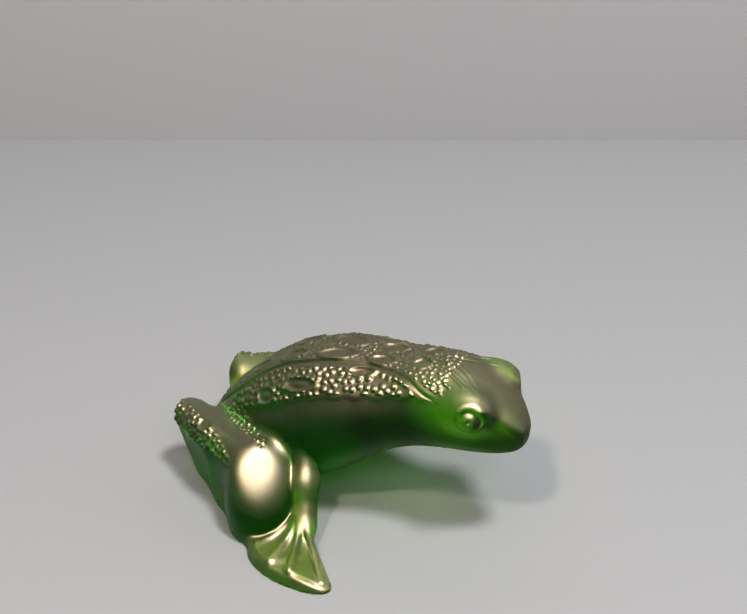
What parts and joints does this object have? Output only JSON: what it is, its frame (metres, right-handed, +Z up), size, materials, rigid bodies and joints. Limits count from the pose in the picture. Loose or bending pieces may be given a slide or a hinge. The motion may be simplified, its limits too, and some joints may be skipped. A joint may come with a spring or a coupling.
{
  "type": "cast glass frog figurine",
  "caption": "Sitting frog figurine, solid one-piece casting in frosted green glass, standing on its flat ground underside.",
  "frame": {"origin": "middle of the flat underside: centre of the figurine's box in X and Y, at the height it stands on", "axes": "+Z up, the frog looks along -Y, its left side is +X"},
  "size_m": [0.0842, 0.0956, 0.0509],
  "materials": {
    "frosted_glass": "satin"
  },
  "bodies": {
    "root": {"frog_casting": "frosted_glass"}
  },
  "joints": []
}
